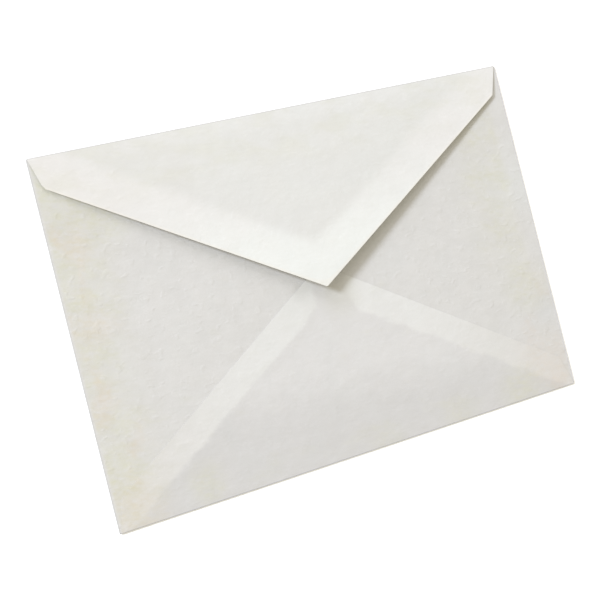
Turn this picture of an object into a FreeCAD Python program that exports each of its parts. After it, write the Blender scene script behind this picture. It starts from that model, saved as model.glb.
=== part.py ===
import FreeCAD, Part
import math
import os
import Sketcher

# Paper envelope of the C6 size, one sheet folded and glued to itself.
# It lies on its front panel with the flaps up.
# Origin: middle of the underside of the front panel.
# +X runs along the long side, +Y towards the fold of the top flap, +Z up. Millimetres.

doc = FreeCAD.newDocument("envelope")

# Sizes, each written once
sheet = doc.addObject("Spreadsheet::Sheet", "Sizes")
sizes = [
    ("panel_width", "162", "outside width, side fold to side fold"),
    ("panel_height", "114", "outside height, bottom fold to top fold"),
    ("paper_thickness", "0.12", "one layer of paper"),
    ("pocket_gap", "0.3", "air between the front panel and the side flaps"),
    ("corner_relief", "0.2", "bare edge between two folds that meet at a corner"),
    ("fold_inset", "0.7", "how far the top and bottom folds stop short of the side folds"),
    ("top_fold_height", "0.9", "outside height of the top fold"),
    ("flap_bow_angle", "0.271661", "how much steeper the top flap leaves its fold than the straight"
     " line from there to its tip, degrees"),
    ("flap_tip_height", "4.1", "height of the upper face at the tip of the top flap"),
    ("flap_length", "59", "top fold to tip of the top flap"),
    ("flap_shoulder_inset", "4", "side fold to shoulder of the top flap"),
    ("flap_shoulder_drop", "10", "top fold to shoulder of the top flap"),
    ("flap_shoulder_rounding", "1.2", "radius at each shoulder of the top flap"),
    ("flap_tip_rounding", "0.6", "radius at the tip of the top flap"),
    ("flap_shift", "0.7", "how far the top flap sits to the left of the middle"),
    ("side_flap_reach", "76", "side fold to the blunt tip of a side flap"),
    ("side_tip_rise", "48.5", "bottom fold to the lower corner of a side flap's tip"),
    ("side_tip_rounding", "5", "radius at both corners of a side flap's tip"),
    ("throat_shoulder", "12.5", "side fold to the start of the slanting throat edge"),
    ("throat_depth", "40.3", "top fold to the upper corner of a side flap's tip"),
    ("bottom_flap_length", "62.3", "bottom fold to the apex of the bottom flap"),
    ("bottom_shoulder_inset", "3.5", "side fold to shoulder of the bottom flap"),
    ("bottom_shoulder_rise", "10.4", "bottom fold to shoulder of the bottom flap"),
    ("bottom_shoulder_rounding", "1.5", "radius at each shoulder of the bottom flap"),
    ("bottom_tip_rounding", "3", "radius at the apex of the bottom flap"),
]
for row, (name, value, note) in enumerate(sizes, start=1):
    sheet.set("A%d" % row, name)
    sheet.set("B%d" % row, value)
    sheet.set("C%d" % row, note)
    sheet.setAlias("B%d" % row, name)
doc.recompute()

# Lengths that follow from the sizes, as expressions
half_width = "Sizes.panel_width / 2"
half_height = "Sizes.panel_height / 2"
thickness = "Sizes.paper_thickness"
side_radius = "(Sizes.pocket_gap / 2 + Sizes.paper_thickness)"
bottom_radius = "(Sizes.pocket_gap / 2 + 1.5 * Sizes.paper_thickness)"
top_radius = "(Sizes.top_fold_height / 2)"
tip_rise = "(Sizes.flap_tip_height - Sizes.top_fold_height)"
spring_angle = "(atan(%s / (Sizes.flap_length - %s)) + Sizes.flap_bow_angle * 1 deg)" % (
    tip_rise, top_radius)
side_fold_x = "(%s - %s)" % (half_width, side_radius)
bottom_fold_y = "(%s - %s)" % (half_height, bottom_radius)
top_fold_y = "(%s - %s)" % (half_height, top_radius)
side_low_y = "(%s - Sizes.corner_relief)" % bottom_fold_y
side_high_y = "(%s - Sizes.corner_relief)" % top_fold_y
side_flap_z = "(Sizes.paper_thickness + Sizes.pocket_gap)"
bottom_flap_z = "(2 * Sizes.paper_thickness + Sizes.pocket_gap)"


def minus(text):
    return "-(%s)" % text


# One body holds the whole sheet
body = doc.addObject("PartDesign::Body", "FoldedSheet")
body.Label = "folded_sheet"


def new_sketch(name, role, lift=None):
    """Sketch on one of the body's own planes, lifted along that plane's normal."""
    sketch = body.newObject("Sketcher::SketchObject", name)
    plane = [item for item in body.Origin.OriginFeatures if item.Role == role][0]
    sketch.AttachmentSupport = [(plane, "")]
    sketch.MapMode = "FlatFace"
    if lift:
        sketch.setExpression(".AttachmentOffset.Base.z", lift)
    doc.recompute()
    return sketch


def number(sketch, text):
    value = sketch.evalExpression(text)
    return float(getattr(value, "Value", value))


def bind(sketch, kind, places, text, start):
    """Add a dimension to a sketch and tie it to an expression."""
    index = sketch.addConstraint(Sketcher.Constraint(kind, *places, start))
    sketch.setExpression("Constraints[%d]" % index, text)


def fix_point(sketch, place, x, y):
    """Hold a point at the coordinates x, y, both given as expressions."""
    for kind, text, axis in (("DistanceX", x, -2), ("DistanceY", y, -1)):
        start = number(sketch, text)
        if abs(start) < 1e-9:
            sketch.addConstraint(Sketcher.Constraint("PointOnObject", *place, axis))
        elif start > 0:
            bind(sketch, kind, (-1, 1) + place, text, start)
        else:
            bind(sketch, kind, place + (-1, 1), minus(text), -start)


def draw_outline(sketch, corners):
    """Closed outline, anticlockwise. Each corner is x, y and a radius or None."""
    spots = [FreeCAD.Vector(number(sketch, x), number(sketch, y), 0) for x, y, r in corners]
    count = len(spots)
    arrive, leave, arcs = [], [], {}
    for i, (x, y, radius) in enumerate(corners):
        back = (spots[i - 1] - spots[i]).normalize()
        ahead = (spots[(i + 1) % count] - spots[i]).normalize()
        half = back.getAngle(ahead) / 2
        size = number(sketch, radius) if radius else 0
        arrive.append(spots[i] + back * (size / math.tan(half)))
        leave.append(spots[i] + ahead * (size / math.tan(half)))
        if radius:
            centre = spots[i] + (back + ahead).normalize() * (size / math.sin(half))
            first = arrive[i] - centre
            last = leave[i] - centre
            circle = Part.Circle(centre, FreeCAD.Vector(0, 0, 1), size)
            angles = (math.atan2(first.y, first.x), math.atan2(last.y, last.x))
            arcs[i] = sketch.addGeometry(Part.ArcOfCircle(circle, *angles), False)
    lines = []
    for i in range(count):
        line = Part.LineSegment(leave[i], arrive[(i + 1) % count])
        lines.append(sketch.addGeometry(line, False))
    for i, (x, y, radius) in enumerate(corners):
        corner = (sketch.addGeometry(Part.Point(spots[i]), True), 1)
        before, after = lines[i - 1], lines[i]
        if radius:
            add = sketch.addConstraint
            add(Sketcher.Constraint("PointOnObject", *corner, before))
            add(Sketcher.Constraint("PointOnObject", *corner, after))
            add(Sketcher.Constraint("Tangent", before, 2, arcs[i], 1))
            add(Sketcher.Constraint("Tangent", arcs[i], 2, after, 1))
            bind(sketch, "Radius", (arcs[i],), radius, number(sketch, radius))
        else:
            sketch.addConstraint(Sketcher.Constraint("Coincident", before, 2, *corner))
            sketch.addConstraint(Sketcher.Constraint("Coincident", after, 1, *corner))
        fix_point(sketch, corner, x, y)


def draw_half_ring(sketch, centre_x, radius):
    """Section of a flat-folded edge, open towards the middle of the envelope."""
    middle = FreeCAD.Vector(number(sketch, centre_x), number(sketch, radius), 0)
    outer = number(sketch, radius)
    inner = number(sketch, "%s - %s" % (radius, thickness))
    up = FreeCAD.Vector(0, 0, 1)
    turn = (-math.pi / 2, math.pi / 2)
    if middle.x < 0:
        turn = (math.pi / 2, 3 * math.pi / 2)
    big = sketch.addGeometry(Part.ArcOfCircle(Part.Circle(middle, up, outer), *turn), False)
    small = sketch.addGeometry(Part.ArcOfCircle(Part.Circle(middle, up, inner), *turn), False)
    ends = []
    for spot in (1, 2):
        line = Part.LineSegment(sketch.getPoint(big, spot), sketch.getPoint(small, spot))
        ends.append(sketch.addGeometry(line, False))
    for line, spot in zip(ends, (1, 2)):
        sketch.addConstraint(Sketcher.Constraint("Coincident", line, 1, big, spot))
        sketch.addConstraint(Sketcher.Constraint("Coincident", line, 2, small, spot))
        sketch.addConstraint(Sketcher.Constraint("Vertical", line))
        sketch.addConstraint(Sketcher.Constraint("PointOnObject", big, 3, line))
    sketch.addConstraint(Sketcher.Constraint("Coincident", small, 3, big, 3))
    bind(sketch, "Radius", (big,), radius, outer)
    bind(sketch, "Radius", (small,), "%s - %s" % (radius, thickness), inner)
    fix_point(sketch, (big, 3), centre_x, radius)


def pad(name, sketch, length, centred=False):
    """Give a sketch a thickness; the result joins what the body already holds."""
    feature = body.newObject("PartDesign::Pad", name)
    feature.Profile = sketch
    feature.setExpression("Length", length)
    feature.SideType = "Symmetric" if centred else "One side"
    doc.recompute()
    return feature


# Top flap: section of its fold and of its slight bow, seen from the side
bow = new_sketch("TopFlapSection", "YZ_Plane")
fold_y = number(bow, top_fold_y)
fold_r = number(bow, top_radius)
layer = number(bow, thickness)
spring = math.radians(number(bow, "%s / 1 deg" % spring_angle))
section_end = "%s - Sizes.flap_length" % half_height
tip = FreeCAD.Vector(number(bow, section_end), number(bow, "Sizes.flap_tip_height"), 0)
hub = FreeCAD.Vector(fold_y, fold_r, 0)
turn_end = math.pi / 2 - spring
leave = hub + FreeCAD.Vector(math.cos(turn_end), math.sin(turn_end), 0) * fold_r
chord = tip - leave
side = FreeCAD.Vector(-math.sin(spring), -math.cos(spring), 0)
bow_r = chord.dot(chord) / (2 * chord.dot(side))
bow_hub = leave + side * bow_r
tip_turn = math.atan2(tip.y - bow_hub.y, tip.x - bow_hub.x)
normal = FreeCAD.Vector(0, 0, 1)
outer_fold = bow.addGeometry(
    Part.ArcOfCircle(Part.Circle(hub, normal, fold_r), -math.pi / 2, turn_end), False)
outer_bow = bow.addGeometry(
    Part.ArcOfCircle(Part.Circle(bow_hub, normal, bow_r), turn_end, tip_turn), False)
inner_fold = bow.addGeometry(
    Part.ArcOfCircle(Part.Circle(hub, normal, fold_r - layer), -math.pi / 2, turn_end), False)
inner_bow = bow.addGeometry(
    Part.ArcOfCircle(Part.Circle(bow_hub, normal, bow_r - layer), turn_end, tip_turn), False)
root_line = bow.addGeometry(
    Part.LineSegment(bow.getPoint(outer_fold, 1), bow.getPoint(inner_fold, 1)), False)
tip_line = bow.addGeometry(
    Part.LineSegment(bow.getPoint(outer_bow, 2), bow.getPoint(inner_bow, 2)), False)
spoke = bow.addGeometry(Part.LineSegment(hub, leave), True)
bow.addConstraint([
    Sketcher.Constraint("Tangent", outer_fold, 2, outer_bow, 1),
    Sketcher.Constraint("Tangent", inner_fold, 2, inner_bow, 1),
    Sketcher.Constraint("Coincident", inner_fold, 3, outer_fold, 3),
    Sketcher.Constraint("Coincident", inner_bow, 3, outer_bow, 3),
    Sketcher.Constraint("Coincident", root_line, 1, outer_fold, 1),
    Sketcher.Constraint("Coincident", root_line, 2, inner_fold, 1),
    Sketcher.Constraint("Vertical", root_line),
    Sketcher.Constraint("PointOnObject", outer_fold, 3, root_line),
    Sketcher.Constraint("Coincident", tip_line, 1, outer_bow, 2),
    Sketcher.Constraint("Coincident", tip_line, 2, inner_bow, 2),
    Sketcher.Constraint("PointOnObject", outer_bow, 3, tip_line),
    Sketcher.Constraint("Coincident", spoke, 1, outer_fold, 3),
    Sketcher.Constraint("Coincident", spoke, 2, outer_fold, 2),
])
bind(bow, "Radius", (outer_fold,), top_radius, fold_r)
bind(bow, "Radius", (inner_fold,), "%s - %s" % (top_radius, thickness), fold_r - layer)
bind(bow, "Angle", (spoke,), "90 deg - %s" % spring_angle, turn_end)
fix_point(bow, (outer_fold, 3), top_fold_y, top_radius)
fix_point(bow, (outer_bow, 2), section_end, "Sizes.flap_tip_height")
doc.recompute()
strip = pad("TopFlapStrip", bow, "Sizes.panel_width", centred=True)
strip_volume = strip.Shape.Volume

# Top flap: everything outside its outline is cut away
trim = new_sketch("TopFlapOutline", "XY_Plane")
trim.setExpression(".AttachmentOffset.Base.x", minus("Sizes.flap_shift"))
trim.setExpression(".AttachmentOffset.Base.y", half_height)
doc.recompute()
flap_fold_x = "%s - Sizes.fold_inset" % half_width
flap_shoulder_x = "%s - Sizes.flap_shoulder_inset" % half_width
draw_outline(trim, [
    (minus("Sizes.panel_width"), minus("Sizes.panel_height"), None),
    ("Sizes.panel_width", minus("Sizes.panel_height"), None),
    ("Sizes.panel_width", "Sizes.panel_height", None),
    (minus("Sizes.panel_width"), "Sizes.panel_height", None),
])
draw_outline(trim, [
    ("0", minus("Sizes.flap_length"), "Sizes.flap_tip_rounding"),
    (flap_shoulder_x, minus("Sizes.flap_shoulder_drop"), "Sizes.flap_shoulder_rounding"),
    (flap_fold_x, minus(top_radius), None),
    (flap_fold_x, top_radius, None),
    (minus(flap_fold_x), top_radius, None),
    (minus(flap_fold_x), minus(top_radius), None),
    (minus(flap_shoulder_x), minus("Sizes.flap_shoulder_drop"), "Sizes.flap_shoulder_rounding"),
])
cut = body.newObject("PartDesign::Pocket", "TopFlapTrim")
cut.Profile = trim
cut.Type = "ThroughAll"
cut.Reversed = True
doc.recompute()
if not 0.3 * strip_volume < cut.Shape.Volume < 0.8 * strip_volume:
    raise RuntimeError("the top flap was not trimmed to its outline")

# Front panel, flat on the ground plane
panel = new_sketch("FrontPanelOutline", "XY_Plane")
draw_outline(panel, [
    (minus(side_fold_x), minus(bottom_fold_y), None),
    (side_fold_x, minus(bottom_fold_y), None),
    (side_fold_x, top_fold_y, None),
    (minus(side_fold_x), top_fold_y, None),
])
pad("FrontPanel", panel, thickness)

# Bottom fold and bottom flap, which lies over the side flaps
roll = new_sketch("BottomFoldSection", "YZ_Plane")
draw_half_ring(roll, minus(bottom_fold_y), bottom_radius)
pad("BottomFold", roll, "Sizes.panel_width - 2 * Sizes.fold_inset", centred=True)

apron = new_sketch("BottomFlapOutline", "XY_Plane", bottom_flap_z)
shoulder_x = "%s - Sizes.bottom_shoulder_inset" % half_width
shoulder_y = minus("%s - Sizes.bottom_shoulder_rise" % half_height)
draw_outline(apron, [
    (minus(flap_fold_x), minus(bottom_fold_y), None),
    (flap_fold_x, minus(bottom_fold_y), None),
    (shoulder_x, shoulder_y, "Sizes.bottom_shoulder_rounding"),
    ("0", "Sizes.bottom_flap_length - %s" % half_height, "Sizes.bottom_tip_rounding"),
    (minus(shoulder_x), shoulder_y, "Sizes.bottom_shoulder_rounding"),
])
pad("BottomFlap", apron, thickness)

# Right side flap, glued under the slanting margins of the bottom flap
wing = new_sketch("SideFlapOutline", "XY_Plane", side_flap_z)
wing_tip_x = "%s - Sizes.side_flap_reach" % half_width
draw_outline(wing, [
    (side_fold_x, minus(side_low_y), None),
    (side_fold_x, side_high_y, None),
    ("%s - Sizes.throat_shoulder" % half_width, side_high_y, None),
    (wing_tip_x, "%s - Sizes.throat_depth" % half_height, "Sizes.side_tip_rounding"),
    (wing_tip_x, "Sizes.side_tip_rise - %s" % half_height, "Sizes.side_tip_rounding"),
])
side_flap = pad("SideFlap", wing, thickness)

# Right side fold
edge = new_sketch("SideFoldSection", "XZ_Plane")
edge.setExpression(".AttachmentOffset.Base.z", "(%s - %s) / 2" % (side_low_y, side_high_y))
doc.recompute()
draw_half_ring(edge, side_fold_x, side_radius)
side_fold = pad("SideFold", edge, "%s + %s" % (side_low_y, side_high_y), centred=True)

# Left side flap and fold mirror the right ones
twin = body.newObject("PartDesign::Mirrored", "LeftSide")
twin.Originals = [side_flap, side_fold]
middle_plane = [item for item in body.Origin.OriginFeatures if item.Role == "YZ_Plane"][0]
twin.MirrorPlane = (middle_plane, [""])
body.Tip = twin
doc.recompute()

# Checks before the file is written
for item in doc.Objects:
    if "Invalid" in item.State or "Error" in item.State:
        raise RuntimeError("%s did not compute: %s" % (item.Label, item.State))
    if hasattr(item, "Shape") and item.isDerivedFrom("PartDesign::Feature"):
        if item.Shape.isNull() or not item.Shape.isValid():
            raise RuntimeError("%s has no valid shape" % item.Label)
for item in doc.findObjects("Sketcher::SketchObject"):
    if item.solve() != 0:
        raise RuntimeError("%s is not solved" % item.Label)
if len(body.Shape.Solids) != 1:
    raise RuntimeError("the sheet fell apart into %d solids" % len(body.Shape.Solids))

os.makedirs("parts", exist_ok=True)
body.Shape.exportStep("parts/folded_sheet.step")
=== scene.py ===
import math

import bpy
import numpy as np
from mathutils import Matrix, Vector


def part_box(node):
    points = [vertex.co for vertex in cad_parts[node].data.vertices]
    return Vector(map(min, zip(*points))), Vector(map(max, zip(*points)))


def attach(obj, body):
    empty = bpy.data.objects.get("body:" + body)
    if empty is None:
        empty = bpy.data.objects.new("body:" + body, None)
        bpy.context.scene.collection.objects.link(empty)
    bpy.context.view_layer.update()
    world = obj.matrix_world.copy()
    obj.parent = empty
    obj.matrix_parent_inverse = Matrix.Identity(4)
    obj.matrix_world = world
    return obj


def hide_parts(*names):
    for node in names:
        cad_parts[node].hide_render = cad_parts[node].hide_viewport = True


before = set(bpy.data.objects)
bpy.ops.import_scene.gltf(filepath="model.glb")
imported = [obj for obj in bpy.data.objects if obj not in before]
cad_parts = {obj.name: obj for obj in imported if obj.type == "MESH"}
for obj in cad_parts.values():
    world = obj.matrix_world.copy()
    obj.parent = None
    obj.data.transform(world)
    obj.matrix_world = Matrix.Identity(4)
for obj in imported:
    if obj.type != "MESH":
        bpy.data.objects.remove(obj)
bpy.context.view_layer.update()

bl_info = {
    "name": "Paper Envelope",
    "version": (1, 0, 0),
    "blender": (4, 5, 0),
    "location": "3D View > Sidebar > Envelope",
    "description": "A pointed-flap envelope folded from one sheet, and a plain stage to show it on",
    "category": "Add Mesh",
}

MM = 0.001
low, high = (np.array(corner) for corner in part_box("folded_sheet"))
# The map from the flat cut sheet to the UV square: 320 mm of paper fill it
UV_SPAN = 0.320

# Small fixed sizes of the sheet
TIP_ROUND = 0.6 * MM  # radius at the tips of the bottom flap and the top flap
SHOULDER_SOFT = 0.1 * MM  # softness of the corner at a flap's shoulder
SAG = 0.04 * MM  # how far the bottom flap hangs where no side flap carries it
SAG_EDGE, SAG_TIP = 5 * MM, 4 * MM  # the ways past a side flap's edge and tip to the full sag
SHIFT_RUN = 9 * MM  # the way from its fold over which the top flap shifts to the left

# Slow waves of the loose layers: seed, shortest and longest wave; the share of the ripple in
# the layers of the back; and the ways from the outline and the folds to their full height
BACK_WAVES = (5, 12 * MM, 60 * MM)
TOP_WAVES = (203, 16 * MM, 80 * MM)
BACK_SHARE = 0.6
OUTLINE_CALM, SIDE_CALM, BOTTOM_CALM, TOP_CALM = 10 * MM, 6 * MM, 14 * MM, 18 * MM

# Cells of the surface
FOLD_STEPS, TOP_FOLD_STEPS = 8, 12  # round a small fold and round the top fold
PAST_FOLD = 0.06 * MM  # first row of points past a fold
CLOSING_ROWS = 7  # rows that close up towards a tip
SIDE_LAST, BOTTOM_LAST, TOP_LAST = 0.15 * MM, 0.2 * MM, 0.12 * MM  # last cell before a tip
BOTTOM_SHORT, TOP_SHORT = 0.35 * MM, 0.12 * MM  # the last row stands this short of the tip
TOP_CELLS = 0.7  # the top flap's cells against the others'

# The paper's marks, placed by x and y in millimetres from the middle of the envelope.
# Olive patches of age: place, reach in millimetres, depth
OLIVE_BLOTS = (
    ((-67.0, 38.0), 18.0, 1.7), ((-74.0, 12.0), 8.0, 1.3), ((-78.0, -42.0), 15.0, 1.4),
    ((-52.0, -50.0), 9.0, 1.0), ((8.0, -57.0), 10.0, 0.7), ((36.0, -56.0), 10.0, 0.7),
    ((60.0, -53.0), 12.0, 1.1), ((72.0, -20.0), 13.0, 1.1))
# Brown spots: place, reach, reach of the full strength, depth. The first two are the corners
BROWN_BLOTS = (
    ((-76.0, -53.0), 15.0, 3.0, 0.75), ((75.0, -46.0), 17.0, 3.0, 0.75),
    ((-73.0, 28.0), 7.0, 1.0, 0.9), ((-73.5, 4.0), 8.0, 1.0, 0.9), ((-78.0, -22.0), 6.0, 1.0, 0.9))
# Marks: place, reach, and what each colour channel is multiplied by. The first two are painted
# shadow around the top flap's tip; then darker at the upper left, lighter and darker at the right
# fold, and lighter in the middle
SHADE_AND_TONE_MARKS = (
    # Painted shadow around the top flap's tip, below it and beside it
    ((4.6, -6.2), 9.5, (0.925, 0.925, 0.885, 1.0)),
    ((-8.6, -2.3), 4.5, (0.93, 0.93, 0.92, 1.0)),
    ((-72.0, 34.0), 13.0, (0.968, 0.963, 0.968, 1.0)),
    ((80.0, 16.0), 19.0, (1.014, 1.03, 1.032, 1.0)),
    ((80.0, -30.0), 14.0, (0.978, 0.985, 0.995, 1.0)),
    ((26.0, 0.0), 13.0, (1.013, 1.018, 1.024, 1.0)))
LEFT_SHADE = (0.968, 0.958, 0.948, 1.0)  # what the top flap's colour is multiplied by, far left
FOLD_SHADE_TINT = (1.0, 1.01, 1.13, 1.0)  # painted cool tint for the right fold and the bottom fold, which lie in shade: what their colour is multiplied by
# The paper machine's direction, as the fibre clumps and as the stains show it
FIBRE_TURN, STAIN_TURN = math.radians(-12), math.radians(-14)

FLOOR_DROP = 0.03 * MM  # how far under the sheet the floor is, so that the two never merge
FLOOR_SEEN = (1.38, 1.38, 1.38, 1)  # the floor's colour for the camera, which shows as white

# How nodes are set: first times second, the same plus third, a smooth step, a mix of two
# colours, and one colour times another
TIMES, TIMES_PLUS = {"operation": "MULTIPLY"}, {"operation": "MULTIPLY_ADD"}
SMOOTH = {"interpolation_type": "SMOOTHSTEP"}
COLOURS = {"data_type": "RGBA"}
FILTER = {"data_type": "RGBA", "blend_type": "MULTIPLY"}


# Small tools

def linear(code):
    """Turn an sRGB hex colour into linear red, green, blue and alpha."""
    parts = [int(code[i:i + 2], 16) / 255 for i in (1, 3, 5)]
    lin = [c / 12.92 if c <= 0.04045 else ((c + 0.055) / 1.055) ** 2.4 for c in parts]
    return (*lin, 1.0)


def colour(name, text, code):
    return bpy.props.FloatVectorProperty(
        name=name, description=text, subtype="COLOR", size=4, min=0, max=1, default=linear(code))


def length(name, text, metres):
    return bpy.props.FloatProperty(
        name=name, description=text, unit="LENGTH", subtype="DISTANCE",
        default=float(metres), precision=5)


def add(tree, kind, *values, **settings):
    """Add a shader node, apply its settings, and give its inputs a value or a link each.

    The values go to the inputs in use, in order. One dict in their place names the inputs.
    Gives back the node's first output in use.
    """
    node = tree.nodes.new("ShaderNode" + kind)
    for key, value in settings.items():
        setattr(node, key, value)
    if values and isinstance(values[0], dict):
        pairs = [(node.inputs[key], value) for key, value in values[0].items()]
    else:
        pairs = zip([socket for socket in node.inputs if socket.enabled], values)
    for socket, value in pairs:
        if isinstance(value, bpy.types.NodeSocket):
            tree.links.new(value, socket)
        else:
            socket.default_value = value
    return next(socket for socket in node.outputs if socket.enabled)


def smooth_waves(x, y, seed, shortest, longest, count=28):
    """Sum of cosine waves with seeded directions, lengths and phases, scaled to about -1 to 1."""
    rng = np.random.default_rng(seed)
    wave = longest * (shortest / longest) ** rng.random(count)
    turn = rng.random(count) * 2 * np.pi
    phase = rng.random(count) * 2 * np.pi
    size = wave / longest
    total = np.zeros_like(x)
    for k in range(count):
        along = x * np.cos(turn[k]) + y * np.sin(turn[k])
        total += size[k] * np.cos(2 * np.pi * along / wave[k] + phase[k])
    return total / np.sqrt((size ** 2).sum() / 2) / 2


def ease(low_end, high_end, value):
    """0 below the low end, 1 above the high end, a smooth S between them."""
    t = np.clip((value - low_end) / (high_end - low_end), 0, 1)
    return t * t * (3 - 2 * t)


# Sizes and colours

class EnvelopeSizes(bpy.types.PropertyGroup):
    """Sizes of the folded sheet."""
    width: length("Width", "Side fold to side fold", high[0] - low[0])
    height: length("Height", "Bottom fold to top fold", high[1] - low[1])
    tip_height: length("Tip height", "Height of the top flap's tip", high[2] - low[2])
    paper: length("Paper", "Thickness of one layer", 0.12 * MM)
    pocket_gap: length("Pocket gap", "Air between front panel and side flaps", 0.3 * MM)
    corner_relief: length("Corner relief", "Slit between two folds at a corner", 0.08 * MM)
    fold_inset: length("Fold inset", "Top and bottom folds stop this short of the sides", 0.35 * MM)
    top_fold: length("Top fold", "Outside height of the top fold", 0.7 * MM)
    spring: bpy.props.FloatProperty(
        name="Spring", description="Rise of the top flap where it leaves its fold",
        unit="ROTATION", subtype="ANGLE", default=math.radians(4.5))
    flap_length: length("Flap length", "Top fold to tip", 59.1 * MM)
    flap_left: length("Left shoulder", "Flap's middle line to its left shoulder", 77.7 * MM)
    flap_right: length("Right shoulder", "Flap's middle line to its right shoulder", 77.2 * MM)
    flap_slope: bpy.props.FloatProperty(
        name="Flap slope", description="Rise of the flap's slanting edges from the tip outwards",
        default=0.635)
    flap_shift: length("Flap shift", "How far the top flap sits to the left", 0.3 * MM)
    reach_left: length("Left reach", "Side fold to tip of the left side flap", 76.5 * MM)
    reach_right: length("Right reach", "Side fold to tip of the right side flap", 75.5 * MM)
    side_tip_rise: length("Side tip rise", "Bottom fold to a side flap's lower corner", 48.2 * MM)
    side_foot: length("Side foot", "Side fold to the start of its flap's lower slant", 3.6 * MM)
    side_tip_round: length("Side tip rounding", "Radius at a side flap's tip", 10 * MM)
    throat_shoulder: length("Throat shoulder", "Side fold to start of the throat", 12.5 * MM)
    throat_depth: length("Throat depth", "Top fold to a side flap's upper corner", 41.2 * MM)
    bottom_length: length("Bottom flap length", "Bottom fold to apex", 62.3 * MM)
    bottom_shoulder_in: length("Bottom shoulder inset", "Side fold to shoulder", 3.5 * MM)
    bottom_shoulder_up: length("Bottom shoulder rise", "Bottom fold to shoulder", 10.4 * MM)
    gum_width: length("Gum width", "Width of the dry gum strip along the flap's edges", 12 * MM)
    cell: length("Cell", "Side of one cell of the surface", 1.3 * MM)
    ripple: length("Ripple", "Height of the slow waves in the loose paper", 0.09 * MM)


class PaperColours(bpy.types.PropertyGroup):
    """Colours of the paper, layer by layer, as they read in plain light."""
    flap_fold: colour("Flap at its fold", "Top flap next to its fold", "#EAE9E5")
    flap_field: colour("Flap", "Single layer of the top flap", "#E7E6E1")
    gum_far: colour("Gum strip", "Top flap over its gum strip, near the shoulders", "#EFEDE9")
    gum_tip: colour("Gum strip at the tip", "Top flap over its gum strip, at the tip", "#F4F5F0")
    side_field: colour("Side flaps", "Side flaps over the front panel", "#E2E0DC")
    bottom_field: colour("Bottom flap", "Bottom flap over the open pocket", "#E5E3E0")
    bottom_low: colour("Bottom edge", "Bottom flap near its fold", "#DCDAD7")
    seam: colour("Seam", "Bottom flap glued on a side flap", "#ECEBE7")
    seam_low: colour("Seam at its foot", "The same near the lower corners", "#E4E1DC")
    front: colour("Front", "Front panel's outer face", "#E2E0DA")
    inside: colour("Inside", "Inner face of the sheet", "#EBEAE7")
    dry_gum: colour("Dry gum", "Gum strip on the flap's inner face", "#E9E6DD")
    # Painted highlight: a lighter line along the top flap's cut edge
    cut_edge: colour("Cut edge", "Slightly raised line along the flap's cut edge", "#F6F2E8")
    rim: colour("Rim", "Cut face of the sheet", "#B9B7B2")
    worn_fold: colour("Worn fold", "Rubbed fibres along the folds", "#CFCDC8")
    stain_olive: colour("Age, olive", "Yellowing that spreads in from the sides", "#DAD8BC")
    stain_brown: colour("Age, brown", "Warm stain at the lower corners and side folds", "#E2CDB4")


class StageSettings(bpy.types.PropertyGroup):
    """Camera, lamps and surroundings."""
    place: bpy.props.FloatVectorProperty(
        name="Camera place", description="Where the camera stands", unit="LENGTH",
        subtype="TRANSLATION", default=(-0.10293, 0.01060, 0.28425))
    aim: bpy.props.FloatVectorProperty(
        name="Aim", description="Point of the ground that the camera looks at", unit="LENGTH",
        subtype="TRANSLATION", default=(-0.009476, 0.011723, 0.0))
    roll: bpy.props.FloatProperty(
        name="Roll", description="Turn of the camera about its line of sight",
        unit="ROTATION", subtype="ANGLE", default=math.radians(75.155))
    lens: bpy.props.FloatProperty(
        name="Lens", description="Focal length on a 36 mm sensor", unit="CAMERA", default=56.37)
    shift: bpy.props.FloatVectorProperty(
        name="Shift", description="Lens shift right and up, in frame widths",
        size=2, default=(0.0231, -0.0801))
    window_place: bpy.props.FloatVectorProperty(
        name="Window place", description="Where the window lamp stands, left of the flap's fold",
        unit="LENGTH", subtype="TRANSLATION", default=(-1.938, 1.211, 1.240))
    window_size: length("Window size", "Diameter of the window lamp", 0.56)
    window_power: bpy.props.FloatProperty(
        name="Window power", description="Watts of the window lamp", default=54.0)
    window_colour: colour("Window colour", "Slightly cool, as window light is", "#E5EDFF")
    fill_place: bpy.props.FloatVectorProperty(
        name="Fill place", description="Where the broad lamp stands, behind the flap's fold",
        unit="LENGTH", subtype="TRANSLATION", default=(-0.200, 2.287, 1.221))
    fill_size: length("Fill size", "Diameter of the broad lamp", 2.1)
    fill_power: bpy.props.FloatProperty(
        name="Fill power", description="Watts of the broad lamp", default=23.0)
    fill_colour: colour("Fill colour", "Slightly cool", "#F0F0FF")
    floor_reach: length("Floor reach", "From the middle of the floor to its sides", 0.6)
    air: bpy.props.FloatProperty(
        name="Air", description="Brightness of the light from all round", default=0.56)
    air_colour: colour("Air colour", "Slightly warm, as light off walls is", "#FFFAE9")


# Shape of the sheet

def corner_arc(edge_slope, radius):
    """Where a rounding of that radius leaves a sloping edge and meets an upright tip line.

    The edge rises by edge_slope for each unit towards the tip. The circle touches both.
    The two answers are how far before the tip line it leaves the edge, and how far above
    the sharp corner its centre stands.
    """
    angle = math.atan(edge_slope)
    back = radius / math.tan((math.pi / 2 + angle) / 2)
    return back * math.cos(angle), back


def fold_radii(s):
    """Outside radius of the side folds, of the bottom fold and of the top fold."""
    return s.pocket_gap / 2 + s.paper, s.pocket_gap / 2 + 1.5 * s.paper, s.top_fold / 2


def side_fold_ends(s):
    """y of the side folds' lower and upper ends, just short of the other two folds."""
    half_h = s.height / 2
    _, bottom, top = fold_radii(s)
    return bottom + s.corner_relief - half_h, half_h - top - s.corner_relief


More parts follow.
